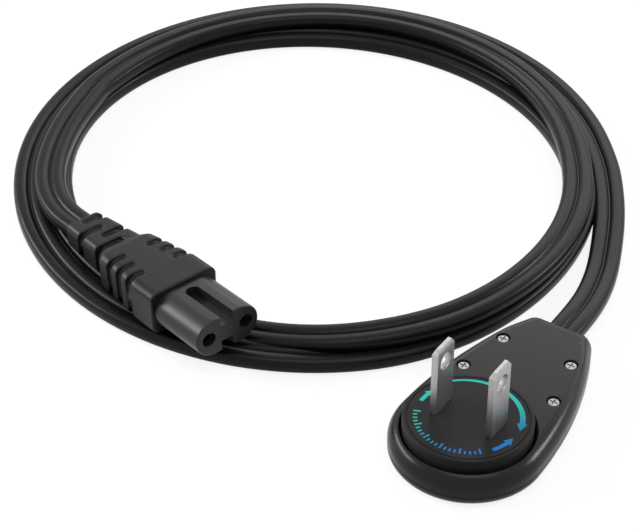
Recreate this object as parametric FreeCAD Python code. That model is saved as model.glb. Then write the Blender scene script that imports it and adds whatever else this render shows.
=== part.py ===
import FreeCAD, Part
import math
import os

# Flat plug with a turning blade disc, on a flat twin cord that ends in a figure-8 connector.
# Millimetres. The origin is on the disc's axis at the plug's back face, +Z points out of the wall
# socket side along the blades, and +Y points to the cord's end of the plug.

Vector = FreeCAD.Vector

# Plug housing, two moulded shells that meet at the parting plane
ROUND_END_R = 16.4
SIDE_ARC_R = 110.0
BODY_END_Y = 43.6
CORNER_R = 4.0
COVER_TOP_Z = 7.0
PARTING_Z = 2.5
SHOULDER_R = 3.4
BACK_EDGE_R = 2.0
SIDE_WALL = 1.3
FACE_WALL = 1.2
BACK_WALL = 1.2
CAVITY_TOP_R = 1.5
CAVITY_FOOT_R = 0.8
TONGUE_HEIGHT = 0.7
TONGUE_WALL = 0.55
SHELL_CLEARANCE = 0.08

# Round opening for the disc, with a chamfered lip
OPENING_R = 13.55
LIP_CHAMFER = 0.45

# Four cover screws, driven from the blade side into posts of the back shell
SCREW_PLACES = ((-8.0, 28.4), (8.0, 28.4), (-10.5, 16.3), (10.5, 16.3))
SCREW_HEAD_R = 1.25
SCREW_HEAD_HEIGHT = 0.7
SCREW_SHANK_R = 0.7
SCREW_LENGTH = 4.2
SCREW_SINK = 1.0
RECESS_R = 1.5
SCREW_POST_R = 2.1
POST_TOP_Z = 4.4
SCREW_CLEARANCE = 0.05
CROSS_SLOT_WIDTH = 0.35
CROSS_SLOT_DEPTH = 0.35

# Turning disc: it stands through the opening and its flange runs under the cover
DISC_R = 13.2
DISC_TOP_Z = 9.5
DISC_BOTTOM_Z = 3.9
DISC_EDGE_R = 0.35
FLANGE_R = 14.2
FLANGE_HEIGHT = 1.0
RUNNING_GAP = 0.3
RIM_GROOVE_R = 12.3
RIM_GROOVE_WIDTH = 0.22
RIM_GROOVE_DEPTH = 0.2

# Flat blades, two pole, bent into a foot under the disc
BLADE_SPACING = 12.7
BLADE_WIDTH = 6.25
BLADE_THICKNESS = 1.45
BLADE_LENGTH = 15.9
BLADE_HOLE_R = 2.0
BLADE_HOLE_HEIGHT = 11.9
BLADE_TIP_HEIGHT = 1.1
BLADE_TIP_SIDE = 0.42
BLADE_TIP_EDGE = 0.8
FOOT_REACH = 4.0
BLADE_CLEARANCE = 0.1

# Retaining plate under the disc, with its three screws
PLATE_R = 12.4
PLATE_HEIGHT = 1.0
PLATE_SCREW_CIRCLE_R = 9.6
PLATE_SCREW_ANGLES = (90.0, 225.0, 315.0)
PLATE_SCREW_HEAD_R = 1.4
PLATE_SCREW_HEAD_HEIGHT = 0.6
PLATE_SCREW_SHANK_R = 0.7
PLATE_SCREW_LENGTH = 3.6

# Flat slip rings in the back shell, one inside the other, and their solder tabs
INNER_RING_R = (3.2, 5.6)
OUTER_RING_R = (8.8, 11.2)
RING_THICKNESS = 0.5
OUTER_RING_LIFT = 0.9
RING_SEAT_MARGIN = 0.4
RING_FIT = 0.1
BARRIER_R = (6.7, 7.4)
BARRIER_HEIGHT = 1.3
CENTRE_STUD_HEIGHT = 0.9
TAB_WIDTH = 2.0
TAB_OFFSET_X = 1.9
TAB_END_Y = 19.0
TAB_SLOT_MARGIN = 0.2

# Folded contact springs, riveted under the blades' feet
SPRING_THICKNESS = 0.3
SPRING_WIDTH = 3.0
SPRING_BUMP_R = 0.5
SPRING_BUMP_DROP = 0.25
SPRING_GAP = 0.05
INNER_SPRING_X = (2.7, 5.2)
INNER_CONTACT_X = 4.3
OUTER_SPRING_X = (10.5, 8.6)
OUTER_CONTACT_X = 10.0
RIVET_R = 0.7
RIVET_HEAD_R = 1.1
RIVET_HEAD_HEIGHT = 0.25
WINDOW_MARGIN = 0.4

# Flat twin cord
CORD_WIDTH = 7.2
CORD_HEIGHT = 3.6
CORD_WEB_HALF = 0.9
EXIT_Z = 3.4
EXIT_CLEARANCE = 0.15
BEND_SHARE = 0.45

# Moulded anchor that grips the cord inside the plug's end
ANCHOR_Y = (36.6, 41.2)
ANCHOR_WIDTH = 11.0
ANCHOR_HEIGHT = 4.4
ANCHOR_EDGE_R = 0.8
ANCHOR_RIB_WIDTH = 0.9
ANCHOR_RIB_HEIGHT = 0.8
ANCHOR_RIB_LENGTH = 12.0

# Insulated conductors from the anchor to the ring tabs
WIRE_R = 1.05
CORE_R = 0.6
WIRE_BEND_Y = 30.0
WIRE_DROP_Y = 24.0
STRIP_Y = 20.0
CORE_END_Y = 15.6

# Cord route from the anchor to the coil: points chosen along the cord's middle
LEAD_POINTS = (
    (0.0, 37.0, 3.4),
    (0.0, 48.0, 3.4),
    (-1.6, 59.0, 2.5),
    (-4.8, 69.6, 1.8),
    (-9.2, 79.8, 1.8),
    (-14.4, 89.6, 1.8),
    (-20.5, 99.0, 1.8),
    (-27.4, 107.7, 1.8),
)

# Cord route from the coil's upper turn to the connector
TAIL_POINTS = (
    (-143.4, 53.4, 5.4),
    (-140.1, 40.9, 5.4),
    (-135.6, 30.8, 5.4),
    (-130.1, 22.4, 5.6),
    (-123.4, 15.7, 6.0),
    (-115.4, 10.7, 6.6),
    (-104.3, 7.3, 7.4),
)

# Coil: two turns side by side on the ground, and a part turn on top of them.
# Each ellipse is (centre x, centre y, half width, half length) in the coil's own axes.
COIL_CENTRE = (-80.7, 66.7)
COIL_TURN_DEG = 33.5
COIL_OUTER = (0.85, -0.4, 71.6, 75.2)
COIL_INNER = (0.9, -3.9, 57.3, 59.2)
UPPER_OUTER = (0.6, -1.0, 67.8, 69.6)
UPPER_INNER = (0.6, -1.0, 58.6, 60.4)
UPPER_TURN_DEG = (275.0, 532.0)
COIL_EDGE_R = 1.4

# Figure-8 connector: moulded grip and strain relief over a hard nose, in its own axes with
# +X out of the nose and X = 0 at the grip's front face
CONNECTOR_PLACE = (-68.3, -1.4, 9.3)
CONNECTOR_YAW_DEG = -13.5
CONNECTOR_RISE_DEG = 2.9
NOSE_WIDTH = 14.2
NOSE_HEIGHT = 8.2
NOSE_LENGTH = 13.4
NOSE_ROOT = 8.0
NOSE_EDGE_R = 0.3
NOSE_GROOVE_WIDTH = 3.0
NOSE_GROOVE_DEPTH = 2.3
NOSE_GROOVE_LENGTH = 10.2
PIN_SPACING = 8.6
PIN_ENTRY_R = 1.5
PIN_ENTRY_DEPTH = 1.2
SLEEVE_R = 1.9
SLEEVE_BORE_R = 1.25
SLEEVE_LENGTH = 16.0
SLEEVE_BORE_LENGTH = 12.0
GRIP_WIDTH = 17.8
GRIP_HEIGHT = 10.4
GRIP_LENGTH = 20.0
GRIP_FRONT_LENGTH = 6.0
GRIP_REAR_WIDTH = 13.4
GRIP_REAR_HEIGHT = 8.6
GRIP_SHOULDER_LENGTH = 2.2
GRIP_CORNER_R = 1.7
GRIP_GROOVE_PLACES = (-7.4, -10.7, -14.0)
GRIP_GROOVE_WIDTH = 1.6
GRIP_GROOVE_DEPTH = 0.75
GRIP_GROOVE_REACH = 3.2
RELIEF_LENGTH = 17.0
RELIEF_WIDTH = (10.8, 9.4)
RELIEF_HEIGHT = (7.2, 5.9)
RELIEF_CORNER_R = 1.5
RELIEF_SLOT_PLACES = (3.0, 6.4, 9.8, 13.2)
RELIEF_SLOT_WIDTH = 1.7
RELIEF_SLOT_OVERLAP = 0.6
RELIEF_CORE_WALL = 0.7

# Heights worked out from the sizes above
CAVITY_TOP_Z = COVER_TOP_Z - FACE_WALL
FLANGE_TOP_Z = CAVITY_TOP_Z - RUNNING_GAP
FOOT_TOP_Z = DISC_BOTTOM_Z + BLADE_THICKNESS
PLATE_BOTTOM_Z = DISC_BOTTOM_Z - PLATE_HEIGHT
INNER_RING_TOP_Z = BACK_WALL + RING_THICKNESS
OUTER_RING_Z = BACK_WALL + OUTER_RING_LIFT
OUTER_RING_TOP_Z = OUTER_RING_Z + RING_THICKNESS
SCREW_SEAT_Z = COVER_TOP_Z - SCREW_SINK
BLADE_X = BLADE_SPACING / 2
LOBE_R = CORD_HEIGHT / 2
LOBE_X = CORD_WIDTH / 2 - LOBE_R
EPS = 0.5

os.makedirs("parts", exist_ok=True)


def save(name, shape):
    shape.exportStep("parts/" + name + ".step")


def box(x, y, z):
    """A box from three (low, high) pairs."""
    return Part.makeBox(x[1] - x[0], y[1] - y[0], z[1] - z[0], Vector(x[0], y[0], z[0]))


def rod(radius, low, high, x=0.0, y=0.0):
    """An upright cylinder between two heights."""
    return Part.makeCylinder(radius, high - low, Vector(x, y, low))


def ring(radii, low, high):
    """A flat ring between two heights, from an (inner, outer) pair of radii."""
    return rod(radii[1], low, high).cut(rod(radii[0], low, high))


def union(shapes):
    whole = shapes[0].multiFuse(shapes[1:])
    return whole.removeSplitter()


def only_solid(shape):
    """The one solid of a shape that a cut or a union made."""
    if len(shape.Solids) != 1:
        raise ValueError("expected one solid, found %d" % len(shape.Solids))
    return shape.Solids[0]


def edges_at_height(shape, z):
    return [e for e in shape.Edges if all(abs(v.Z - z) < 1e-6 for v in e.Vertexes)]


# Housing shells

def outline(inset):
    """The plug's plan, drawn in by a wall: a half circle, two long side arcs and a straight end."""
    radius = ROUND_END_R - inset
    side = SIDE_ARC_R - inset
    side_x = ROUND_END_R - SIDE_ARC_R
    end_y = BODY_END_Y - inset
    end_x = side_x + math.sqrt(side ** 2 - end_y ** 2)
    mid_x = side_x + math.sqrt(side ** 2 - (end_y / 2) ** 2)
    right = Part.Arc(Vector(radius, 0, 0), Vector(mid_x, end_y / 2, 0), Vector(end_x, end_y, 0))
    end = Part.LineSegment(Vector(end_x, end_y, 0), Vector(-end_x, end_y, 0))
    left = Part.Arc(Vector(-end_x, end_y, 0), Vector(-mid_x, end_y / 2, 0), Vector(-radius, 0, 0))
    front = Part.Arc(Vector(-radius, 0, 0), Vector(0, -radius, 0), Vector(radius, 0, 0))
    return Part.Wire([curve.toShape() for curve in (right, end, left, front)])


def outline_block(inset, low, high):
    """The plan as a block with rounded end corners."""
    block = Part.Face(outline(inset)).extrude(Vector(0, 0, high - low))
    block.translate(Vector(0, 0, low))
    end_y = BODY_END_Y - inset
    corners = []
    for edge in block.Edges:
        upright = abs(edge.Vertexes[0].Z - edge.Vertexes[-1].Z) > EPS
        if upright and abs(edge.Vertexes[0].Y - end_y) < 1e-6:
            corners.append(edge)
    return block.makeFillet(CORNER_R - inset, corners)


def cord_hole(start_y, end_y):
    """The flat hole that the cord leaves the housing through."""
    half = LOBE_R + EXIT_CLEARANCE
    slab = box((-LOBE_X, LOBE_X), (start_y, end_y), (EXIT_Z - half, EXIT_Z + half))
    ends = [Part.makeCylinder(half, end_y - start_y, Vector(x, start_y, EXIT_Z), Vector(0, 1, 0))
            for x in (-LOBE_X, LOBE_X)]
    return union([slab] + ends)


def housing_shells():
    body = outline_block(0.0, 0.0, COVER_TOP_Z)
    body = body.makeFillet(SHOULDER_R, edges_at_height(body, COVER_TOP_Z))
    body = body.makeFillet(BACK_EDGE_R, edges_at_height(body, 0.0))
    cavity = outline_block(SIDE_WALL, BACK_WALL, CAVITY_TOP_Z)
    cavity = cavity.makeFillet(CAVITY_TOP_R, edges_at_height(cavity, CAVITY_TOP_Z))
    cavity = cavity.makeFillet(CAVITY_FOOT_R, edges_at_height(cavity, BACK_WALL))
    reach = 2 * (ROUND_END_R + BODY_END_Y)
    above = box((-reach, reach), (-reach, reach), (PARTING_Z, COVER_TOP_Z + EPS))
    shell = body.cut(cavity).cut(cord_hole(BODY_END_Y - 2 * SIDE_WALL, BODY_END_Y + EPS))
    tongue_top = PARTING_Z + TONGUE_HEIGHT
    tongue = outline_block(SIDE_WALL - TONGUE_WALL, PARTING_Z, tongue_top)
    tongue = tongue.cut(outline_block(SIDE_WALL, PARTING_Z, tongue_top))
    tongue = tongue.cut(cord_hole(BODY_END_Y - 2 * SIDE_WALL, BODY_END_Y + EPS))
    rebate = outline_block(SIDE_WALL - TONGUE_WALL - SHELL_CLEARANCE, PARTING_Z, tongue_top + SHELL_CLEARANCE)
    wall_cover = shell.common(above).cut(rebate)
    posts = [rod(SCREW_POST_R, POST_TOP_Z, CAVITY_TOP_Z + FACE_WALL / 2, x, y) for x, y in SCREW_PLACES]
    wall_cover = union([wall_cover] + posts)
    wall_cover = wall_cover.cut(rod(OPENING_R, PARTING_Z, COVER_TOP_Z + EPS))
    lip = Part.makeCone(OPENING_R, OPENING_R + LIP_CHAMFER + EPS, LIP_CHAMFER + EPS,
                        Vector(0, 0, COVER_TOP_Z - LIP_CHAMFER))
    wall_cover = wall_cover.cut(lip)
    for x, y in SCREW_PLACES:
        wall_cover = wall_cover.cut(rod(RECESS_R, SCREW_SEAT_Z, COVER_TOP_Z + EPS, x, y))
        wall_cover = wall_cover.cut(rod(SCREW_SHANK_R + SCREW_CLEARANCE, PARTING_Z, SCREW_SEAT_Z, x, y))
    room_cover = union([shell.cut(above), tongue] + back_shell_features())
    slot_x = (TAB_OFFSET_X - TAB_WIDTH / 2 - TAB_SLOT_MARGIN, TAB_OFFSET_X + TAB_WIDTH / 2 + TAB_SLOT_MARGIN)
    room_cover = room_cover.cut(box(slot_x, (0, TAB_END_Y), (BACK_WALL, BACK_WALL + BARRIER_HEIGHT)))
    for x, y in SCREW_PLACES:
        pilot_low = SCREW_SEAT_Z - SCREW_LENGTH - SCREW_CLEARANCE
        room_cover = room_cover.cut(rod(SCREW_SHANK_R + SCREW_CLEARANCE, pilot_low, POST_TOP_Z + EPS, x, y))
    return only_solid(wall_cover), only_solid(room_cover)


def back_shell_features():
    """Ring seats, the barrier between the rings, screw posts and the rib that holds the anchor."""
    base = BACK_WALL / 2
    seat_r = (OUTER_RING_R[0] - RING_SEAT_MARGIN, OUTER_RING_R[1] + RING_SEAT_MARGIN)
    seat = ring(seat_r, base, OUTER_RING_Z)
    tab_x = (-TAB_OFFSET_X - TAB_WIDTH / 2, -TAB_OFFSET_X + TAB_WIDTH / 2)
    tab_bed = box(tab_x, (OUTER_RING_R[0], TAB_END_Y), (base, OUTER_RING_Z))
    barrier = ring(BARRIER_R, base, BACK_WALL + BARRIER_HEIGHT)
    stud = rod(INNER_RING_R[0] - RING_FIT, base, BACK_WALL + CENTRE_STUD_HEIGHT)
    posts = [rod(SCREW_POST_R, base, POST_TOP_Z, x, y) for x, y in SCREW_PLACES]
    rib_y = (ANCHOR_Y[0] - ANCHOR_RIB_WIDTH, ANCHOR_Y[0])
    rib_x = (-ANCHOR_RIB_LENGTH / 2, ANCHOR_RIB_LENGTH / 2)
    rib = box(rib_x, rib_y, (base, BACK_WALL + ANCHOR_RIB_HEIGHT))
    return [seat, tab_bed, barrier, stud, rib] + posts


def cross_slot(x, y, top, head_r):
    """The driver slots of a small screw."""
    long = (-head_r * 0.7, head_r * 0.7)
    thin = (-CROSS_SLOT_WIDTH / 2, CROSS_SLOT_WIDTH / 2)
    depth = (top - CROSS_SLOT_DEPTH, top + EPS)
    cut = union([box(long, thin, depth), box(thin, long, depth)])
    cut.translate(Vector(x, y, 0))
    return cut


def cover_screws():
    screws = []
    for x, y in SCREW_PLACES:
        head = rod(SCREW_HEAD_R, SCREW_SEAT_Z, SCREW_SEAT_Z + SCREW_HEAD_HEIGHT, x, y)
        head = head.makeFillet(SCREW_HEAD_HEIGHT / 3, edges_at_height(head, SCREW_SEAT_Z + SCREW_HEAD_HEIGHT))
        shank = rod(SCREW_SHANK_R, SCREW_SEAT_Z - SCREW_LENGTH, SCREW_SEAT_Z, x, y)
        screw = union([head, shank]).cut(cross_slot(x, y, SCREW_SEAT_Z + SCREW_HEAD_HEIGHT, SCREW_HEAD_R))
        screws.append(only_solid(screw))
    return Part.makeCompound(screws)


# Contacts fixed in the back shell

def inner_slip_ring():
    tab = box((TAB_OFFSET_X - TAB_WIDTH / 2, TAB_OFFSET_X + TAB_WIDTH / 2), (INNER_RING_R[0], TAB_END_Y),
              (BACK_WALL, INNER_RING_TOP_Z))
    flat = union([rod(INNER_RING_R[1], BACK_WALL, INNER_RING_TOP_Z), tab])
    return only_solid(flat.cut(rod(INNER_RING_R[0], BACK_WALL, INNER_RING_TOP_Z)))


def outer_slip_ring():
    tab = box((-TAB_OFFSET_X - TAB_WIDTH / 2, -TAB_OFFSET_X + TAB_WIDTH / 2), (OUTER_RING_R[0], TAB_END_Y),
              (OUTER_RING_Z, OUTER_RING_TOP_Z))
    flat = union([rod(OUTER_RING_R[1], OUTER_RING_Z, OUTER_RING_TOP_Z), tab])
    return only_solid(flat.cut(rod(OUTER_RING_R[0], OUTER_RING_Z, OUTER_RING_TOP_Z)))


# Turning disc and what turns with it

def blade(side, foot_way):
    """One blade with its foot; side is -1 or 1, foot_way 1 bends the foot outwards and -1 inwards."""
    half_t = BLADE_THICKNESS / 2
    half_w = BLADE_WIDTH / 2
    tip_z = DISC_TOP_Z + BLADE_LENGTH
    chamfer_z = tip_z - BLADE_TIP_HEIGHT
    upright = box((-half_t, half_t), (-half_w, half_w), (DISC_BOTTOM_Z, chamfer_z))
    low = box_wire(half_t, half_w, chamfer_z)
    high = box_wire(half_t - BLADE_TIP_SIDE, half_w - BLADE_TIP_EDGE, tip_z)
    tip = Part.makeLoft([low, high], True, True)
    foot_x = (0.0, half_t + FOOT_REACH) if foot_way * side > 0 else (-half_t - FOOT_REACH, 0.0)
    foot = box(foot_x, (-half_w, half_w), (DISC_BOTTOM_Z, FOOT_TOP_Z))
    whole = union([upright, tip, foot])
    hole_z = DISC_TOP_Z + BLADE_HOLE_HEIGHT
    hole = Part.makeCylinder(BLADE_HOLE_R, 2 * BLADE_WIDTH, Vector(-BLADE_WIDTH, 0, hole_z), Vector(1, 0, 0))
    whole = whole.cut(hole)
    whole.translate(Vector(side * BLADE_X, 0, 0))
    rivet_x = rivet_place(side, foot_way)
    whole = whole.cut(rod(RIVET_R, DISC_BOTTOM_Z, FOOT_TOP_Z, rivet_x, 0))
    return only_solid(whole)


def box_wire(half_x, half_y, z):
    corners = [(-half_x, -half_y), (half_x, -half_y), (half_x, half_y), (-half_x, half_y), (-half_x, -half_y)]
    return Part.makePolygon([Vector(x, y, z) for x, y in corners])


def spring_ends(foot_way):
    """The free end, the bend and the contact of a spring, as distances from the disc's axis."""
    if foot_way > 0:
        return OUTER_SPRING_X[0], OUTER_SPRING_X[1], OUTER_CONTACT_X, OUTER_RING_TOP_Z
    return INNER_SPRING_X[0], INNER_SPRING_X[1], INNER_CONTACT_X, INNER_RING_TOP_Z


def rivet_place(side, foot_way):
    free, bend, _, _ = spring_ends(foot_way)
    return side * (free + bend) / 2


def contact_spring(side, foot_way):
    """A strip folded back on itself: its pad lies under the foot and its bump rides on a slip ring."""
    free, bend, contact, ring_top = spring_ends(foot_way)
    outward = 1 if bend > free else -1
    y = (-SPRING_WIDTH / 2, SPRING_WIDTH / 2)
    top = DISC_BOTTOM_Z
    bump_low = ring_top + SPRING_GAP
    leg_low = bump_low + SPRING_BUMP_DROP
    outer_r = (top - leg_low) / 2
    bend_z = top - outer_r
    pad = box(sorted((free, bend)), y, (top - SPRING_THICKNESS, top))
    leg = box(sorted((contact, bend)), y, (leg_low, leg_low + SPRING_THICKNESS))
    start = Vector(bend, y[0], bend_z)
    along = Vector(0, 1, 0)
    turn = Part.makeCylinder(outer_r, SPRING_WIDTH, start, along)
    turn = turn.cut(Part.makeCylinder(outer_r - SPRING_THICKNESS, SPRING_WIDTH, start, along))
    half_x = sorted((bend, bend + outward * 2 * outer_r))
    turn = turn.common(box(half_x, y, (leg_low, top)))
    bump = Part.makeCylinder(SPRING_BUMP_R, SPRING_WIDTH, Vector(contact, y[0], bump_low + SPRING_BUMP_R), along)
    bump_x = (contact - SPRING_BUMP_R, contact + SPRING_BUMP_R)
    bump = bump.common(box(bump_x, y, (bump_low, leg_low + SPRING_THICKNESS)))
    strip = union([pad, turn, leg, bump])
    if side < 0:
        strip = strip.mirror(Vector(0, 0, 0), Vector(1, 0, 0))
    return only_solid(strip.cut(rod(RIVET_R, top - SPRING_THICKNESS, top, rivet_place(side, foot_way), 0)))


def spring_window(side, foot_way):
    """The gap in the retaining plate that a contact spring works in."""
    free, bend, _, ring_top = spring_ends(foot_way)
    outward = 1 if bend > free else -1
    fold_r = (DISC_BOTTOM_Z - ring_top - SPRING_GAP - SPRING_BUMP_DROP) / 2
    far = bend + outward * (fold_r + WINDOW_MARGIN)
    near = free - outward * WINDOW_MARGIN
    x = sorted((side * near, side * far))
    half_y = SPRING_WIDTH / 2 + WINDOW_MARGIN
    return box(x, (-half_y, half_y), (PLATE_BOTTOM_Z, DISC_BOTTOM_Z))


def spring_rivets():
    rivets = []
    for side, foot_way in POLES:
        x = rivet_place(side, foot_way)
        pad_z = DISC_BOTTOM_Z - SPRING_THICKNESS
        head = rod(RIVET_HEAD_R, pad_z - RIVET_HEAD_HEIGHT, pad_z, x, 0)
        rivets.append(only_solid(union([head, rod(RIVET_R, pad_z, FOOT_TOP_Z, x, 0)])))
    return Part.makeCompound(rivets)


def plate_screw_places():
    places = []
    for angle in PLATE_SCREW_ANGLES:
        turn = math.radians(angle)
        places.append((PLATE_SCREW_CIRCLE_R * math.cos(turn), PLATE_SCREW_CIRCLE_R * math.sin(turn)))
    return places


def rotor_disc():
    disc = rod(DISC_R, DISC_BOTTOM_Z, DISC_TOP_Z)
    disc = disc.makeFillet(DISC_EDGE_R, edges_at_height(disc, DISC_TOP_Z))
    disc = union([disc, rod(FLANGE_R, FLANGE_TOP_Z - FLANGE_HEIGHT, FLANGE_TOP_Z)])
    groove_r = (RIM_GROOVE_R - RIM_GROOVE_WIDTH / 2, RIM_GROOVE_R + RIM_GROOVE_WIDTH / 2)
    disc = disc.cut(ring(groove_r, DISC_TOP_Z - RIM_GROOVE_DEPTH, DISC_TOP_Z + EPS))
    half_t = BLADE_THICKNESS / 2 + BLADE_CLEARANCE
    half_w = BLADE_WIDTH / 2 + BLADE_CLEARANCE
    for side, foot_way in POLES:
        x = side * BLADE_X
        slot = box((x - half_t, x + half_t), (-half_w, half_w), (DISC_BOTTOM_Z, DISC_TOP_Z + EPS))
        foot_x = sorted((x, x + side * foot_way * (half_t + FOOT_REACH)))
        pocket = box(foot_x, (-half_w, half_w), (DISC_BOTTOM_Z, FOOT_TOP_Z + BLADE_CLEARANCE))
        disc = disc.cut(slot).cut(pocket)
    pilot_top = PLATE_BOTTOM_Z + PLATE_SCREW_LENGTH + SCREW_CLEARANCE
    for x, y in plate_screw_places():
        disc = disc.cut(rod(PLATE_SCREW_SHANK_R + SCREW_CLEARANCE, DISC_BOTTOM_Z, pilot_top, x, y))
    return only_solid(disc)


def retaining_plate():
    plate = rod(PLATE_R, PLATE_BOTTOM_Z, DISC_BOTTOM_Z)
    for side, foot_way in POLES:
        plate = plate.cut(spring_window(side, foot_way))
    for x, y in plate_screw_places():
        sink = rod(PLATE_SCREW_HEAD_R + SCREW_CLEARANCE, PLATE_BOTTOM_Z, PLATE_BOTTOM_Z + PLATE_SCREW_HEAD_HEIGHT, x, y)
        hole = rod(PLATE_SCREW_SHANK_R + SCREW_CLEARANCE, PLATE_BOTTOM_Z, DISC_BOTTOM_Z, x, y)
        plate = plate.cut(sink).cut(hole)
    return only_solid(plate)


def plate_screws():
    screws = []
    for x, y in plate_screw_places():
        head = rod(PLATE_SCREW_HEAD_R, PLATE_BOTTOM_Z, PLATE_BOTTOM_Z + PLATE_SCREW_HEAD_HEIGHT, x, y)
        shank = rod(PLATE_SCREW_SHANK_R, PLATE_BOTTOM_Z, PLATE_BOTTOM_Z + PLATE_SCREW_LENGTH, x, y)
        screws.append(only_solid(union([head, shank])))
    return Part.makeCompound(screws)


# Cord, its anchor and its conductors

def rounded_path(points):
    """Straight runs joined by tangent arcs as large as the runs allow, and the arcs' radii."""
    route = [Vector(*p) for p in points]
    edges = []
    radii = []
    start = route[0]
    for before, corner, after in zip(route, route[1:], route[2:]):
        run_in = corner - before
        run_out = after - corner
        setback = BEND_SHARE * min(run_in.Length, run_out.Length)
        way_in = Vector(run_in).normalize()
        way_out = Vector(run_out).normalize()
        turn = math.acos(max(-1.0, min(1.0, way_in.dot(way_out))))
        first = corner - way_in * setback
        last = corner + way_out * setback
        radius = setback / math.tan(turn / 2)
        inward = (way_out - way_in).normalize()
        middle = corner + inward * (radius / math.cos(turn / 2) - radius)
        edges.append(Part.LineSegment(start, first).toShape())
        edges.append(Part.Arc(first, middle, last).toShape())
        radii.append(radius)
        start = last
    edges.append(Part.LineSegment(start, route[-1]).toShape())
    return Part.Wire(edges), radii


def cord_section():
    """The twin cord's section about the origin, width along X and height along Z."""
    web_x = LOBE_X - math.sqrt(LOBE_R ** 2 - CORD_WEB_HALF ** 2)
    half = CORD_WIDTH / 2
    left = Part.Arc(Vector(-web_x, 0, CORD_WEB_HALF), Vector(-half, 0, 0), Vector(-web_x, 0, -CORD_WEB_HALF))
    foot = Part.LineSegment(Vector(-web_x, 0, -CORD_WEB_HALF), Vector(web_x, 0, -CORD_WEB_HALF))
    right = Part.Arc(Vector(web_x, 0, -CORD_WEB_HALF), Vector(half, 0, 0), Vector(web_x, 0, CORD_WEB_HALF))
    top = Part.LineSegment(Vector(web_x, 0, CORD_WEB_HALF), Vector(-web_x, 0, CORD_WEB_HALF))
    return Part.Wire([curve.toShape() for curve in (left, foot, right, top)])


def cord_tube(points, name):
    """The flat cord swept along a route, its flat side kept level."""
    path, radii = rounded_path(points)
    heading = (Vector(*points[1]) - Vector(*points[0])).normalize()
    section = cord_section()
    yaw = math.degrees(math.atan2(heading.y, heading.x)) - 90.0
    section.rotate(Vector(0, 0, 0), Vector(0, 0, 1), yaw)
    section.translate(Vector(*points[0]))
    sweep = Part.BRepOffsetAPI.MakePipeShell(path)
    sweep.setBiNormalMode(Vector(0, 0, 1))
    sweep.add(section)
    sweep.build()
    sweep.makeSolid()
    tube = only_solid(sweep.shape())
    expected = Part.Face(cord_section()).Area * path.Length
    print(name, "length %.1f, volume %.1f of %.1f, radii" % (path.Length, tube.Volume, expected),
          " ".join("%.0f" % r for r in radii))
    return tube


def cord_anchor():
    low = BACK_WALL
    block = box((-ANCHOR_WIDTH / 2, ANCHOR_WIDTH / 2), ANCHOR_Y, (low, low + ANCHOR_HEIGHT))
    long_edges = [e for e in block.Edges if abs(e.Vertexes[0].Y - e.Vertexes[-1].Y) > EPS]
    block = block.makeFillet(ANCHOR_EDGE_R, long_edges)
    bore = Part.Face(cord_section()).extrude(Vector(0, ANCHOR_Y[1] - LEAD_POINTS[0][1], 0))
    bore.translate(Vector(0, LEAD_POINTS[0][1], EXIT_Z))
    return only_solid(block.cut(bore))


def conductor(side, tab_top):
    """An insulated conductor from the anchor down to its ring tab, with a bare end on the tab."""
    lie_z = tab_top + CORE_R
    insulated_z = max(lie_z, BACK_WALL + WIRE_R)
    start = Vector(side * LOBE_X, ANCHOR_Y[0], EXIT_Z)
    bend = Vector(side * LOBE_X, WIRE_BEND_Y, EXIT_Z)
    low = Vector(side * TAB_OFFSET_X, WIRE_DROP_Y, insulated_z)
    end = Vector(side * TAB_OFFSET_X, STRIP_Y, insulated_z)
    path, _ = rounded_path([tuple(p) for p in (start, bend, low, end)])
    circle = Part.Wire([Part.Circle(start, Vector(0, 1, 0), WIRE_R).toShape()])
    insulated = path.makePipeShell([circle], True, False)
    core = Part.makeCylinder(CORE_R, STRIP_Y + EPS - CORE_END_Y, Vector(end.x, CORE_END_Y, lie_z), Vector(0, 1, 0))
    return only_solid(union([insulated.Solids[0], core]))


# Coil of cord

def ellipse_block(sizes, low, high):
    cx, cy, half_x, half_y = sizes
    centre = Vector(cx, cy, low)
    curve = Part.Ellipse(Vector(cx, cy + half_y, low), Vector(cx + half_x, cy, low), centre)
    return Part.Face(Part.Wire([curve.toShape()])).extrude(Vector(0, 0, high - low))


def turn_sector(low, high):
    """A wedge over the angles that the upper turn covers."""
    radius = 2 * max(COIL_OUTER[2:])
    span = UPPER_TURN_DEG[1] - UPPER_TURN_DEG[0]
    wedge = Part.makeCylinder(radius, high - low, Vector(0, 0, low), Vector(0, 0, 1), span)
    wedge.rotate(Vector(0, 0, 0), Vector(0, 0, 1), UPPER_TURN_DEG[0])
    return wedge


def cord_coil():
    lower = ellipse_block(COIL_OUTER, 0.0, CORD_HEIGHT).cut(ellipse_block(COIL_INNER, 0.0, CORD_HEIGHT))
    lower = lower.makeFillet(COIL_EDGE_R, edges_at_height(lower, 0.0))
    upper_z = (CORD_HEIGHT, 2 * CORD_HEIGHT)
    upper = ellipse_block(UPPER_OUTER, *upper_z).cut(ellipse_block(UPPER_INNER, *upper_z))
    upper = upper.makeFillet(COIL_EDGE_R, edges_at_height(upper, upper_z[1]))
    upper = upper.common(turn_sector(*upper_z))
    coil = union([lower, upper])
    coil.rotate(Vector(0, 0, 0), Vector(0, 0, 1), COIL_TURN_DEG)
    coil.translate(Vector(COIL_CENTRE[0], COIL_CENTRE[1], 0))
    return only_solid(coil)


# Connector

def place_connector(shape):
    turn = FreeCAD.Rotation(CONNECTOR_YAW_DEG, -CONNECTOR_RISE_DEG, 0)
    shape.Placement = FreeCAD.Placement(Vector(*CONNECTOR_PLACE), turn)
    return shape


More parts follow.
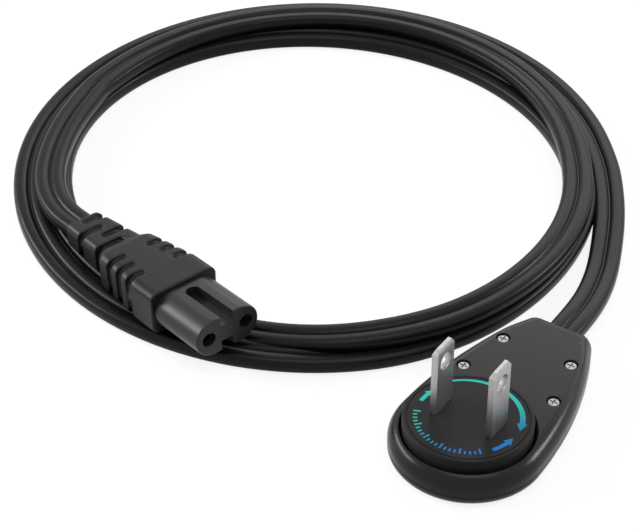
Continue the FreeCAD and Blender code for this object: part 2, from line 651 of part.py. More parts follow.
def rounded_section(x, width, height, radius):
    """A rounded rectangle across the connector's axis."""
    half_y = width / 2
    half_z = height / 2
    bow = radius * (1 - math.sqrt(0.5))
    edges = []
    for sy, sz in ((1, 1), (-1, 1), (-1, -1), (1, -1)):
        side = Vector(x, sy * half_y, sz * (half_z - radius))
        middle = Vector(x, sy * (half_y - bow), sz * (half_z - bow))
        flat = Vector(x, sy * (half_y - radius), sz * half_z)
        corner = [side, middle, flat] if sy * sz > 0 else [flat, middle, side]
        edges.append(corner)
    shapes = []
    for i, corner in enumerate(edges):
        shapes.append(Part.Arc(*corner).toShape())
        shapes.append(Part.LineSegment(corner[2], edges[(i + 1) % 4][0]).toShape())
    return Part.Wire(shapes)


def nose_block(grow, start, end):
    """The nose's round-ended section between two places on the connector's axis."""
    radius = NOSE_HEIGHT / 2 + grow
    offset = NOSE_WIDTH / 2 - NOSE_HEIGHT / 2
    slab = box((start, end), (-offset, offset), (-radius, radius))
    ends = [Part.makeCylinder(radius, end - start, Vector(start, y, 0), Vector(1, 0, 0)) for y in (-offset, offset)]
    return union([slab] + ends)


def connector_nose():
    nose = nose_block(0.0, -NOSE_ROOT, NOSE_LENGTH)
    rim = [e for e in nose.Edges if all(abs(v.X - NOSE_LENGTH) < 1e-6 for v in e.Vertexes)]
    nose = nose.makeFillet(NOSE_EDGE_R, rim)
    half = NOSE_GROOVE_WIDTH / 2
    groove_end = NOSE_LENGTH - NOSE_GROOVE_LENGTH + half
    floor_z = NOSE_HEIGHT / 2 - NOSE_GROOVE_DEPTH
    for way in (1, -1):
        z = sorted((way * floor_z, way * NOSE_HEIGHT))
        channel = box((groove_end, NOSE_LENGTH + EPS), (-half, half), z)
        nose = nose.cut(channel).cut(rod(half, z[0], z[1], groove_end, 0))
    for y in (-PIN_SPACING / 2, PIN_SPACING / 2):
        entry = Part.makeCylinder(PIN_ENTRY_R, PIN_ENTRY_DEPTH, Vector(NOSE_LENGTH, y, 0), Vector(-1, 0, 0))
        seat = Part.makeCylinder(SLEEVE_R, SLEEVE_LENGTH, Vector(NOSE_LENGTH - PIN_ENTRY_DEPTH, y, 0), Vector(-1, 0, 0))
        nose = nose.cut(entry).cut(seat)
    return only_solid(nose)


def contact_sleeve(side):
    y = side * PIN_SPACING / 2
    front = Vector(NOSE_LENGTH - PIN_ENTRY_DEPTH, y, 0)
    sleeve = Part.makeCylinder(SLEEVE_R, SLEEVE_LENGTH, front, Vector(-1, 0, 0))
    bore = Part.makeCylinder(SLEEVE_BORE_R, SLEEVE_BORE_LENGTH, front, Vector(-1, 0, 0))
    return only_solid(sleeve.cut(bore))


def grip_size_at(x):
    """The grip's width and height at a place on its tapered stretch."""
    rear = -GRIP_LENGTH + GRIP_SHOULDER_LENGTH
    share = min(max((x + GRIP_FRONT_LENGTH) / (rear + GRIP_FRONT_LENGTH), 0.0), 1.0)
    width = GRIP_WIDTH + share * (GRIP_REAR_WIDTH - GRIP_WIDTH)
    height = GRIP_HEIGHT + share * (GRIP_REAR_HEIGHT - GRIP_HEIGHT)
    return width, height


def grip_groove(x, side):
    """A groove that wraps over one side of the grip, with round ends on its top and underside."""
    width, height = grip_size_at(x)
    half = GRIP_GROOVE_WIDTH / 2
    core = Part.Face(rounded_section(x - half, width - 2 * GRIP_GROOVE_DEPTH, height - 2 * GRIP_GROOVE_DEPTH,
                                     GRIP_CORNER_R)).extrude(Vector(GRIP_GROOVE_WIDTH, 0, 0))
    end_y = width / 2 - GRIP_GROOVE_REACH
    slab = box((x - half, x + half), (end_y, width), (-height, height))
    round_end = rod(half, -height, height, x, end_y)
    cutter = union([slab, round_end]).cut(core)
    if side < 0:
        cutter = cutter.mirror(Vector(0, 0, 0), Vector(0, 1, 0))
    return cutter


def relief_slot(distance, side):
    """A slot from one side of the strain relief past its middle, above and below the cord's core."""
    x = -GRIP_LENGTH - distance
    half = RELIEF_SLOT_WIDTH / 2
    reach = RELIEF_WIDTH[0]
    z = (-RELIEF_HEIGHT[0], RELIEF_HEIGHT[0])
    slab = box((x - half, x + half), (-RELIEF_SLOT_OVERLAP, reach), z)
    slot = union([slab, rod(half, z[0], z[1], x, -RELIEF_SLOT_OVERLAP)])
    core_h = CORD_HEIGHT + 2 * RELIEF_CORE_WALL
    core_w = CORD_WIDTH + 2 * RELIEF_CORE_WALL
    core = Part.Face(rounded_section(x - half, core_w, core_h, core_h / 2 - 0.01)).extrude(
        Vector(RELIEF_SLOT_WIDTH, 0, 0))
    slot = slot.cut(core)
    if side < 0:
        slot = slot.mirror(Vector(0, 0, 0), Vector(0, 1, 0))
    return slot


def connector_grip():
    rear = -GRIP_LENGTH + GRIP_SHOULDER_LENGTH
    tail = -GRIP_LENGTH - RELIEF_LENGTH
    stations = [
        rounded_section(0.0, GRIP_WIDTH, GRIP_HEIGHT, GRIP_CORNER_R),
        rounded_section(-GRIP_FRONT_LENGTH, GRIP_WIDTH, GRIP_HEIGHT, GRIP_CORNER_R),
        rounded_section(rear, GRIP_REAR_WIDTH, GRIP_REAR_HEIGHT, GRIP_CORNER_R),
        rounded_section(-GRIP_LENGTH, RELIEF_WIDTH[0], RELIEF_HEIGHT[0], RELIEF_CORNER_R),
        rounded_section(tail, RELIEF_WIDTH[1], RELIEF_HEIGHT[1], RELIEF_CORNER_R),
    ]
    grip = Part.makeLoft(stations, True, True)
    for x in GRIP_GROOVE_PLACES:
        for side in (1, -1):
            grip = grip.cut(grip_groove(x, side))
    for i, distance in enumerate(RELIEF_SLOT_PLACES):
        grip = grip.cut(relief_slot(distance, -1 if i % 2 else 1))
    grip = grip.cut(nose_block(0.0, -NOSE_ROOT, 0.0))
    for y in (-PIN_SPACING / 2, PIN_SPACING / 2):
        start = Vector(NOSE_LENGTH - PIN_ENTRY_DEPTH, y, 0)
        grip = grip.cut(Part.makeCylinder(SLEEVE_R, SLEEVE_LENGTH, start, Vector(-1, 0, 0)))
    return only_solid(grip)


# Pole 1 has the right blade and the inner ring, pole 2 the left blade and the outer ring
POLES = ((1, -1), (-1, 1))

wall_cover, room_cover = housing_shells()
save("wall_cover", wall_cover)
save("room_cover", room_cover)
save("cover_screws", cover_screws())
save("inner_slip_ring", inner_slip_ring())
save("outer_slip_ring", outer_slip_ring())
save("line_conductor", conductor(1, INNER_RING_TOP_Z))
save("neutral_conductor", conductor(-1, OUTER_RING_TOP_Z))
save("cord_anchor", cord_anchor())

save("rotor_disc", rotor_disc())
save("retaining_plate", retaining_plate())
save("plate_screws", plate_screws())
save("line_blade", blade(*POLES[0]))
save("neutral_blade", blade(*POLES[1]))
save("line_contact_spring", contact_spring(*POLES[0]))
save("neutral_contact_spring", contact_spring(*POLES[1]))
save("spring_rivets", spring_rivets())

save("cord_lead", cord_tube(LEAD_POINTS, "cord_lead"))
save("cord_coil", cord_coil())
save("cord_tail", cord_tube(TAIL_POINTS, "cord_tail"))
save("connector_grip", place_connector(connector_grip()))
save("connector_nose", place_connector(connector_nose()))
save("line_contact_sleeve", place_connector(contact_sleeve(-1)))
save("neutral_contact_sleeve", place_connector(contact_sleeve(1)))
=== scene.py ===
import bpy
import math
from mathutils import Matrix, Vector


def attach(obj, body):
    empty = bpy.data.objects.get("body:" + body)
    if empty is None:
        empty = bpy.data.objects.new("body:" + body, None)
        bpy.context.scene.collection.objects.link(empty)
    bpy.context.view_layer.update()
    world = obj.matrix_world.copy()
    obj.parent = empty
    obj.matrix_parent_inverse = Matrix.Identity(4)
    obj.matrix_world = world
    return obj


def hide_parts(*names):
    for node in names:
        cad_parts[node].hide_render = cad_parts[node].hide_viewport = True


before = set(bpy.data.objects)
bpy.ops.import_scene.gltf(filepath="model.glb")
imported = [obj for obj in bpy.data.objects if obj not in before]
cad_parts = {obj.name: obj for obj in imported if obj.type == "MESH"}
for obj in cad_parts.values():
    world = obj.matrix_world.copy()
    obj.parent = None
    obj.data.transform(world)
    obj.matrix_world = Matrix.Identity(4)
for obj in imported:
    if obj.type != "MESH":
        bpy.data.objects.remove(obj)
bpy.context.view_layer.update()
MM = 0.001


# Plug housing: two injection-moulded shells of black ABS with a fine spark-eroded grain, which reads as
# charcoal. The wall cover has the disc's round opening and the four screw recesses. The room cover is
# the shell below the parting line, and carries the slip rings.
COVER_DARK = (0.009, 0.009, 0.0095)
COVER_PALE = (0.012, 0.012, 0.0125)
COVER_PATCH_MM = 9.0
COVER_GRAIN_MM = 0.32
COVER_GLOSS = (0.25, 0.29)
COVER_RELIEF_MM = 0.012
COVER_SHINE = 0.20
COVER_EDGE_MM = 0.1
CAD_HALF_WIDTH = 16.4
CAD_SIDE_ARC_R = 110.0
CAD_END_Y = 43.6
SHELL_HALF_WIDTH = 16.2
SHELL_SIDE_ARC_R = 92.0
SHELL_END_Y = 40.4
SHELL_ROUND_Y = 0.5
SHELL_DRAW_Y = 30.0
SHELL_BAND = 2.8
PATCH_DETAIL = 3.0
GRAIN_DETAIL = 2.0
GRAIN_BUMP = 0.5
MERGE_MM = 0.001
FLAT_DEG = 0.4
EDGE_STEPS = 2
SHARP_DEG = 35.0


def build_moulded_grain():
    """Shader group for moulded plastic: slow patches of shade and gloss, and a fine grain in relief."""
    group = bpy.data.node_groups.new("moulded_grain", "ShaderNodeTree")
    sockets = group.interface
    sockets.new_socket(name="Dark", in_out="INPUT", socket_type="NodeSocketColor")
    sockets.new_socket(name="Pale", in_out="INPUT", socket_type="NodeSocketColor")
    for name in ("Patch Scale", "Grain Scale", "Smoothest", "Roughest"):
        sockets.new_socket(name=name, in_out="INPUT", socket_type="NodeSocketFloat")
    sockets.new_socket(name="Colour", in_out="OUTPUT", socket_type="NodeSocketColor")
    sockets.new_socket(name="Roughness", in_out="OUTPUT", socket_type="NodeSocketFloat")
    sockets.new_socket(name="Height", in_out="OUTPUT", socket_type="NodeSocketFloat")
    nodes = group.nodes
    links = group.links
    given = nodes.new("NodeGroupInput")
    result = nodes.new("NodeGroupOutput")
    place = nodes.new("ShaderNodeTexCoord")
    patches = nodes.new("ShaderNodeTexNoise")
    patches.inputs["Detail"].default_value = PATCH_DETAIL
    grain = nodes.new("ShaderNodeTexNoise")
    grain.inputs["Detail"].default_value = GRAIN_DETAIL
    shade = nodes.new("ShaderNodeMix")
    shade.data_type = "RGBA"
    gloss = nodes.new("ShaderNodeMapRange")
    links.new(place.outputs["Object"], patches.inputs["Vector"])
    links.new(place.outputs["Object"], grain.inputs["Vector"])
    links.new(given.outputs["Patch Scale"], patches.inputs["Scale"])
    links.new(given.outputs["Grain Scale"], grain.inputs["Scale"])
    links.new(patches.outputs["Fac"], shade.inputs[0])
    links.new(given.outputs["Dark"], shade.inputs[6])
    links.new(given.outputs["Pale"], shade.inputs[7])
    links.new(patches.outputs["Fac"], gloss.inputs["Value"])
    links.new(given.outputs["Smoothest"], gloss.inputs["To Min"])
    links.new(given.outputs["Roughest"], gloss.inputs["To Max"])
    links.new(shade.outputs[2], result.inputs["Colour"])
    links.new(gloss.outputs["Result"], result.inputs["Roughness"])
    links.new(grain.outputs["Fac"], result.inputs["Height"])
    return group


moulded_grain = build_moulded_grain()


def moulded_finish(name, dark, pale, patch_mm, grain_mm, gloss, relief_mm, shine):
    """A moulded plastic with its own shades, grain and gloss."""
    material = bpy.data.materials.new(name)
    material.use_nodes = True
    nodes = material.node_tree.nodes
    links = material.node_tree.links
    shader = nodes["Principled BSDF"]
    grain = nodes.new("ShaderNodeGroup")
    grain.node_tree = moulded_grain
    grain.inputs["Dark"].default_value = (*dark, 1.0)
    grain.inputs["Pale"].default_value = (*pale, 1.0)
    grain.inputs["Patch Scale"].default_value = 1.0 / (patch_mm * MM)
    grain.inputs["Grain Scale"].default_value = 1.0 / (grain_mm * MM)
    grain.inputs["Smoothest"].default_value = gloss[0]
    grain.inputs["Roughest"].default_value = gloss[1]
    shader.inputs["Specular IOR Level"].default_value = shine
    relief = nodes.new("ShaderNodeBump")
    relief.inputs["Strength"].default_value = GRAIN_BUMP
    relief.inputs["Distance"].default_value = relief_mm * MM
    links.new(grain.outputs["Colour"], shader.inputs["Base Color"])
    links.new(grain.outputs["Roughness"], shader.inputs["Roughness"])
    links.new(grain.outputs["Height"], relief.inputs["Height"])
    links.new(relief.outputs["Normal"], shader.inputs["Normal"])
    return material


def dress_node(node, finish):
    """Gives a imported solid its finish."""
    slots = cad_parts[node].data.materials
    slots.clear()
    slots.append(finish)


def pick(piece):
    """Makes a piece the only one that is selected, and the active one."""
    bpy.ops.object.select_all(action="DESELECT")
    piece.select_set(True)
    bpy.context.view_layer.objects.active = piece


def copy_of_node(node, name):
    """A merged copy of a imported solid's mesh, as a piece of its own."""
    piece = bpy.data.objects.new(name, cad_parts[node].data.copy())
    piece.data.name = name
    piece.data.materials.clear()
    bpy.context.collection.objects.link(piece)
    pick(piece)
    if piece.data.has_custom_normals:
        bpy.ops.mesh.customdata_custom_splitnormals_clear()
    bpy.ops.object.mode_set(mode="EDIT")
    bpy.ops.mesh.select_all(action="SELECT")
    bpy.ops.mesh.remove_doubles(threshold=MERGE_MM * MM)
    bpy.ops.mesh.dissolve_limited(angle_limit=math.radians(FLAT_DEG))
    bpy.ops.object.mode_set(mode="OBJECT")
    return piece


def reshape(piece, rule):
    """Moves each point of a piece by a rule in millimetres."""
    for vertex in piece.data.vertices:
        vertex.co = Vector(rule(vertex.co / MM)) * MM


def ease_edges(piece, width_mm, angle_deg):
    """Rounds a piece's sharp edges and shades its flats flat and its curves smooth."""
    pick(piece)
    eased = piece.modifiers.new("eased_edges", "BEVEL")
    eased.width = width_mm * MM
    eased.segments = EDGE_STEPS
    eased.limit_method = "ANGLE"
    eased.angle_limit = math.radians(angle_deg)
    eased.use_clamp_overlap = False
    bpy.ops.object.modifier_apply(modifier=eased.name)
    bpy.ops.object.shade_smooth_by_angle(angle=math.radians(angle_deg))
    flats = piece.modifiers.new("flat_faces", "WEIGHTED_NORMAL")
    flats.keep_sharp = True
    bpy.ops.object.modifier_apply(modifier=flats.name)


def smooth_step(value, low, high):
    """Nought below low, one above high, and a smooth rise between them."""
    share = min(max((value - low) / (high - low), 0.0), 1.0)
    return share * share * (3 - 2 * share)


def arc_drop(radius, along):
    """How far an arc that starts level has dropped at a distance along it."""
    return radius - math.sqrt(radius * radius - along * along)


def fit_outline(place):
    """A point of the housing on the outline in the photograph, which is slimmer and shorter at the cord."""
    x, y, z = place
    if y < 0.0:
        reach = math.hypot(x, y)
        come_in = CAD_HALF_WIDTH - SHELL_HALF_WIDTH - SHELL_ROUND_Y * y / reach
        share = 1.0 - come_in * smooth_step(reach, CAD_HALF_WIDTH - SHELL_BAND, CAD_HALF_WIDTH) / reach
        return (x * share, y * share, z)
    shell_y = y - (CAD_END_Y - SHELL_END_Y) * smooth_step(y, SHELL_DRAW_Y, CAD_END_Y)
    cad_half = CAD_HALF_WIDTH - arc_drop(CAD_SIDE_ARC_R, y)
    shell_half = SHELL_HALF_WIDTH - arc_drop(SHELL_SIDE_ARC_R, shell_y)
    come_in = (cad_half - shell_half) * smooth_step(abs(x), cad_half - SHELL_BAND, cad_half)
    return (x - math.copysign(come_in, x), shell_y, z)


cover_finish = moulded_finish(
    "charcoal_cover", COVER_DARK, COVER_PALE, COVER_PATCH_MM, COVER_GRAIN_MM, COVER_GLOSS, COVER_RELIEF_MM,
    COVER_SHINE)
for node in ("wall_cover", "room_cover"):
    shell = copy_of_node(node, node + "_shell")
    reshape(shell, fit_outline)
    ease_edges(shell, COVER_EDGE_MM, SHARP_DEG)
    shell.data.materials.append(cover_finish)
    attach(shell, "housing")
    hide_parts(node)


# Slip rings: two flat rings stamped from brass sheet, one inside the other, each with a solder tab.
# They are pressed into the room cover and carry the current to the turning contacts.
BRASS_DEEP = (0.62, 0.43, 0.17)
BRASS_PALE = (0.80, 0.62, 0.31)
BRASS_BRUSH_MM = (0.25, 6.0, 6.0)
BRASS_GLOSS = (0.24, 0.40)
BRASS_RELIEF_MM = 0.004
MARK_DETAIL = 3.0
MARK_BUMP = 0.4


def build_drawn_metal():
    """Shader group for metal: fine marks drawn out along one direction, in shade, gloss and relief."""
    group = bpy.data.node_groups.new("drawn_metal", "ShaderNodeTree")
    sockets = group.interface
    sockets.new_socket(name="Deep", in_out="INPUT", socket_type="NodeSocketColor")
    sockets.new_socket(name="Pale", in_out="INPUT", socket_type="NodeSocketColor")
    sockets.new_socket(name="Marks", in_out="INPUT", socket_type="NodeSocketVector")
    sockets.new_socket(name="Smoothest", in_out="INPUT", socket_type="NodeSocketFloat")
    sockets.new_socket(name="Roughest", in_out="INPUT", socket_type="NodeSocketFloat")
    sockets.new_socket(name="Colour", in_out="OUTPUT", socket_type="NodeSocketColor")
    sockets.new_socket(name="Roughness", in_out="OUTPUT", socket_type="NodeSocketFloat")
    sockets.new_socket(name="Height", in_out="OUTPUT", socket_type="NodeSocketFloat")
    nodes = group.nodes
    links = group.links
    given = nodes.new("NodeGroupInput")
    result = nodes.new("NodeGroupOutput")
    place = nodes.new("ShaderNodeTexCoord")
    stretch = nodes.new("ShaderNodeVectorMath")
    stretch.operation = "MULTIPLY"
    marks = nodes.new("ShaderNodeTexNoise")
    marks.inputs["Scale"].default_value = 1.0
    marks.inputs["Detail"].default_value = MARK_DETAIL
    shade = nodes.new("ShaderNodeMix")
    shade.data_type = "RGBA"
    gloss = nodes.new("ShaderNodeMapRange")
    links.new(place.outputs["Object"], stretch.inputs[0])
    links.new(given.outputs["Marks"], stretch.inputs[1])
    links.new(stretch.outputs["Vector"], marks.inputs["Vector"])
    links.new(marks.outputs["Fac"], shade.inputs[0])
    links.new(given.outputs["Deep"], shade.inputs[6])
    links.new(given.outputs["Pale"], shade.inputs[7])
    links.new(marks.outputs["Fac"], gloss.inputs["Value"])
    links.new(given.outputs["Smoothest"], gloss.inputs["To Min"])
    links.new(given.outputs["Roughest"], gloss.inputs["To Max"])
    links.new(shade.outputs[2], result.inputs["Colour"])
    links.new(gloss.outputs["Result"], result.inputs["Roughness"])
    links.new(marks.outputs["Fac"], result.inputs["Height"])
    return group


drawn_metal = build_drawn_metal()


def metal_finish(name, deep, pale, brush_mm, gloss, relief_mm):
    """A bare or plated metal; brush_mm is the size of its marks along X, Y and Z."""
    material = bpy.data.materials.new(name)
    material.use_nodes = True
    nodes = material.node_tree.nodes
    links = material.node_tree.links
    shader = nodes["Principled BSDF"]
    shader.inputs["Metallic"].default_value = 1.0
    marks = nodes.new("ShaderNodeGroup")
    marks.node_tree = drawn_metal
    marks.inputs["Deep"].default_value = (*deep, 1.0)
    marks.inputs["Pale"].default_value = (*pale, 1.0)
    marks.inputs["Marks"].default_value = [1.0 / (size * MM) for size in brush_mm]
    marks.inputs["Smoothest"].default_value = gloss[0]
    marks.inputs["Roughest"].default_value = gloss[1]
    relief = nodes.new("ShaderNodeBump")
    relief.inputs["Strength"].default_value = MARK_BUMP
    relief.inputs["Distance"].default_value = relief_mm * MM
    links.new(marks.outputs["Colour"], shader.inputs["Base Color"])
    links.new(marks.outputs["Roughness"], shader.inputs["Roughness"])
    links.new(marks.outputs["Height"], relief.inputs["Height"])
    links.new(relief.outputs["Normal"], shader.inputs["Normal"])
    return material


brass_finish = metal_finish(
    "contact_brass", BRASS_DEEP, BRASS_PALE, BRASS_BRUSH_MM, BRASS_GLOSS, BRASS_RELIEF_MM)
dress_node("inner_slip_ring", brass_finish)
dress_node("outer_slip_ring", brass_finish)


# Conductors: the cord's two cores, split behind the anchor. Each is stranded copper under black PVC,
# stripped at its end and soldered down on a ring's tab.
WIRE_STRIP_Y = 20.0 * MM
WIRE_JACKET = (0.020, 0.020, 0.021)
WIRE_COPPER = (0.72, 0.36, 0.20)
WIRE_GLOSS = 0.42
WIRE_STRAND_SCALE = 900.0
WIRE_RELIEF_MM = 0.02

wire_finish = bpy.data.materials.new("stripped_wire")
wire_finish.use_nodes = True
wire_nodes = wire_finish.node_tree.nodes
wire_links = wire_finish.node_tree.links
wire_shader = wire_nodes["Principled BSDF"]
wire_shader.inputs["Roughness"].default_value = WIRE_GLOSS
wire_place = wire_nodes.new("ShaderNodeTexCoord")
wire_axes = wire_nodes.new("ShaderNodeSeparateXYZ")
wire_bare = wire_nodes.new("ShaderNodeMath")
wire_bare.operation = "LESS_THAN"
wire_bare.inputs[1].default_value = WIRE_STRIP_Y
wire_colour = wire_nodes.new("ShaderNodeMix")
wire_colour.data_type = "RGBA"
wire_colour.inputs[6].default_value = (*WIRE_JACKET, 1.0)
wire_colour.inputs[7].default_value = (*WIRE_COPPER, 1.0)
wire_strands = wire_nodes.new("ShaderNodeTexWave")
wire_strands.bands_direction = "DIAGONAL"
wire_strands.inputs["Scale"].default_value = WIRE_STRAND_SCALE
wire_relief = wire_nodes.new("ShaderNodeBump")
wire_relief.inputs["Distance"].default_value = WIRE_RELIEF_MM * MM
wire_twist = wire_nodes.new("ShaderNodeMath")
wire_twist.operation = "MULTIPLY"
wire_links.new(wire_place.outputs["Object"], wire_axes.inputs["Vector"])
wire_links.new(wire_axes.outputs["Y"], wire_bare.inputs[0])
wire_links.new(wire_bare.outputs[0], wire_colour.inputs[0])
wire_links.new(wire_bare.outputs[0], wire_shader.inputs["Metallic"])
wire_links.new(wire_colour.outputs[2], wire_shader.inputs["Base Color"])
wire_links.new(wire_place.outputs["Object"], wire_strands.inputs["Vector"])
wire_links.new(wire_strands.outputs["Fac"], wire_twist.inputs[0])
wire_links.new(wire_bare.outputs[0], wire_twist.inputs[1])
wire_links.new(wire_twist.outputs[0], wire_relief.inputs["Height"])
wire_links.new(wire_relief.outputs["Normal"], wire_shader.inputs["Normal"])
dress_node("line_conductor", wire_finish)
dress_node("neutral_conductor", wire_finish)


# Cord anchor: a block of soft black PVC moulded round the cord's end, which bears on a rib of the room
# cover so that a pull on the cord doesn't reach the solder.
ANCHOR_DARK = (0.018, 0.018, 0.019)
ANCHOR_PALE = (0.026, 0.026, 0.027)
anchor_finish = moulded_finish(
    "anchor_pvc", ANCHOR_DARK, ANCHOR_PALE, patch_mm=4.0, grain_mm=0.4, gloss=(0.42, 0.55), relief_mm=0.01,
    shine=0.3)
anchor_block = copy_of_node("cord_anchor", "cord_anchor_block")
reshape(anchor_block, fit_outline)
bpy.ops.object.shade_smooth_by_angle(angle=math.radians(SHARP_DEG))
anchor_block.data.materials.append(anchor_finish)
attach(anchor_block, "housing")
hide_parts("cord_anchor")


# Turning disc: black ABS, moulded with the two blade slots and a fine ring line near its rim. It is
# dropped in from behind, stands 2.5 mm proud of the cover, and the retaining plate closes it below.
DISC_DARK = (0.016, 0.016, 0.017)
DISC_PALE = (0.024, 0.024, 0.025)
disc_finish = moulded_finish(
    "disc_black", DISC_DARK, DISC_PALE, patch_mm=7.0, grain_mm=0.28, gloss=(0.34, 0.44), relief_mm=0.014,
    shine=0.08)
plate_finish = moulded_finish(
    "plate_black", ANCHOR_DARK, DISC_PALE, patch_mm=6.0, grain_mm=0.3, gloss=(0.38, 0.50), relief_mm=0.01,
    shine=0.3)
dress_node("rotor_disc", disc_finish)
dress_node("retaining_plate", plate_finish)


# Disc print: ink that is pad-printed on the disc's top once the disc is moulded. A long arrow shows
# which way it turns, two short arrows and a row of ticks close the circle, and the ink runs from
# teal to blue across the disc.
INK_BOTTOM_Z = 9.49 * MM
INK_THICKNESS = 0.03 * MM
SHAFT_STEPS = 40
TICK_RADII = (9.5 * MM, 11.0 * MM)
TICK_SHORT = 0.6
TICK_HALF_WIDTH = 0.2 * MM
TICK_FIRST_DEG = -47.0
TICK_STEP_DEG = -5.5
TICK_COUNT = 21
TICK_LONG_EVERY = 4
INK_TEAL = (0.030, 0.590, 0.510)
INK_CYAN = (0.012, 0.340, 0.480)
INK_BLUE = (0.012, 0.170, 0.610)
INK_SPAN = (-2.0 * MM, 11.0 * MM)
INK_CYAN_AT = 0.45
INK_GLOSS = 0.45
INK_SHINE = 0.15
INK_SPECKLE_SCALE = 4000.0
INK_SPECKLE_SHARE = 0.25
INK_MERGE_MM = 0.0005


def printed_arrow(name, radii, start_deg, neck_deg, tip_deg, widths):
    """An arrow of ink along a curve; its widths are at the shaft's start and end, the neck and the tip."""
    columns = SHAFT_STEPS + 2
    bpy.ops.object.select_all(action="DESELECT")
    bpy.ops.mesh.primitive_grid_add(x_subdivisions=columns, y_subdivisions=1, size=2.0)
    arrow = bpy.context.object
    arrow.name = name
    for vertex in arrow.data.vertices:
        column = round((vertex.co.x + 1.0) / 2.0 * columns)
        share = min(column / SHAFT_STEPS, 1.0)
        degrees = start_deg + (neck_deg - start_deg) * share
        width = widths[0] + (widths[1] - widths[0]) * share
        radius = radii[0] + (radii[1] - radii[0]) * share
        if column == SHAFT_STEPS + 1:
            width = widths[2]
        elif column > SHAFT_STEPS + 1:
            degrees = tip_deg
            width = widths[3]
        reach = (radius + vertex.co.y * width / 2.0) * MM
        turn = math.radians(degrees)
        vertex.co = (reach * math.cos(turn), reach * math.sin(turn), INK_BOTTOM_Z)
    return arrow


def printed_tick(degrees, long):
    """One radial tick of ink, four corners of a plane moved to their place on the disc."""
    bpy.ops.object.select_all(action="DESELECT")
    bpy.ops.mesh.primitive_plane_add(size=2.0)
    tick = bpy.context.object
    turn = math.radians(degrees)
    outward = Vector((math.cos(turn), math.sin(turn), 0.0))
    across = Vector((-outward.y, outward.x, 0.0))
    length = (TICK_RADII[1] - TICK_RADII[0]) * (1.0 if long else TICK_SHORT)
    for vertex in tick.data.vertices:
        reach = TICK_RADII[1] - length * (1.0 - vertex.co.x) / 2.0
        corner = outward * reach + across * vertex.co.y * TICK_HALF_WIDTH
        vertex.co = (corner.x, corner.y, INK_BOTTOM_Z)
    return tick


def join_pieces(name, parts):
    """Joins pieces into the first of them."""
    bpy.ops.object.select_all(action="DESELECT")
    for part in parts:
        part.select_set(True)
    bpy.context.view_layer.objects.active = parts[0]
    bpy.ops.object.join()
    parts[0].name = name
    parts[0].data.name = name
    return parts[0]


def thicken_ink(piece):
    """Gives flat ink its thickness and faces that point outwards."""
    pick(piece)
    bpy.ops.object.mode_set(mode="EDIT")
    bpy.ops.mesh.select_all(action="SELECT")
    bpy.ops.mesh.remove_doubles(threshold=INK_MERGE_MM * MM)
    bpy.ops.mesh.extrude_region_move(TRANSFORM_OT_translate={"value": (0.0, 0.0, INK_THICKNESS)})
    bpy.ops.mesh.select_all(action="SELECT")
    bpy.ops.mesh.normals_make_consistent(inside=False)
    bpy.ops.object.mode_set(mode="OBJECT")


ink_arrows = [
    printed_arrow(
        "turn_arrow", radii=(11.4, 10.7), start_deg=141.0, neck_deg=22.0, tip_deg=11.0,
        widths=(0.45, 1.15, 2.1, 0.1)),
    printed_arrow(
        "left_arrow", radii=(10.4, 10.4), start_deg=185.0, neck_deg=170.5, tip_deg=162.0,
        widths=(0.9, 0.9, 2.0, 0.1)),
    printed_arrow(
        "right_arrow", radii=(10.5, 10.5), start_deg=-33.0, neck_deg=-14.0, tip_deg=-4.0,
        widths=(0.9, 0.9, 2.0, 0.1)),
]
ink_ticks = [
    printed_tick(TICK_FIRST_DEG + i * TICK_STEP_DEG, i % TICK_LONG_EVERY == 0) for i in range(TICK_COUNT)
]
disc_print = join_pieces("disc_print", ink_arrows + ink_ticks)
thicken_ink(disc_print)

ink_finish = bpy.data.materials.new("pad_ink")
ink_finish.use_nodes = True
ink_nodes = ink_finish.node_tree.nodes
ink_links = ink_finish.node_tree.links
ink_shader = ink_nodes["Principled BSDF"]
ink_shader.inputs["Roughness"].default_value = INK_GLOSS
ink_shader.inputs["Specular IOR Level"].default_value = INK_SHINE
ink_place = ink_nodes.new("ShaderNodeTexCoord")
ink_axes = ink_nodes.new("ShaderNodeSeparateXYZ")
ink_across = ink_nodes.new("ShaderNodeMath")
ink_across.operation = "SUBTRACT"
ink_share = ink_nodes.new("ShaderNodeMapRange")
ink_share.inputs["From Min"].default_value = INK_SPAN[0] * math.sqrt(2.0)
ink_share.inputs["From Max"].default_value = INK_SPAN[1] * math.sqrt(2.0)
ink_ramp = ink_nodes.new("ShaderNodeValToRGB")
ink_ramp.color_ramp.elements[0].color = (*INK_TEAL, 1.0)
ink_ramp.color_ramp.elements[1].color = (*INK_BLUE, 1.0)
ink_ramp.color_ramp.elements.new(INK_CYAN_AT).color = (*INK_CYAN, 1.0)
ink_speckle = ink_nodes.new("ShaderNodeTexNoise")
ink_speckle.inputs["Scale"].default_value = INK_SPECKLE_SCALE
ink_cover = ink_nodes.new("ShaderNodeMix")
ink_cover.data_type = "RGBA"
ink_cover.blend_type = "MULTIPLY"
ink_cover.inputs[0].default_value = INK_SPECKLE_SHARE
ink_links.new(ink_place.outputs["Object"], ink_axes.inputs["Vector"])
ink_links.new(ink_place.outputs["Object"], ink_speckle.inputs["Vector"])
ink_links.new(ink_axes.outputs["X"], ink_across.inputs[0])
ink_links.new(ink_axes.outputs["Y"], ink_across.inputs[1])
ink_links.new(ink_across.outputs[0], ink_share.inputs["Value"])
ink_links.new(ink_share.outputs["Result"], ink_ramp.inputs["Fac"])
ink_links.new(ink_ramp.outputs["Color"], ink_cover.inputs[6])
ink_links.new(ink_speckle.outputs["Fac"], ink_cover.inputs[7])
ink_links.new(ink_cover.outputs[2], ink_shader.inputs["Base Color"])
disc_print.data.materials.clear()
disc_print.data.materials.append(ink_finish)
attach(disc_print, "rotor")


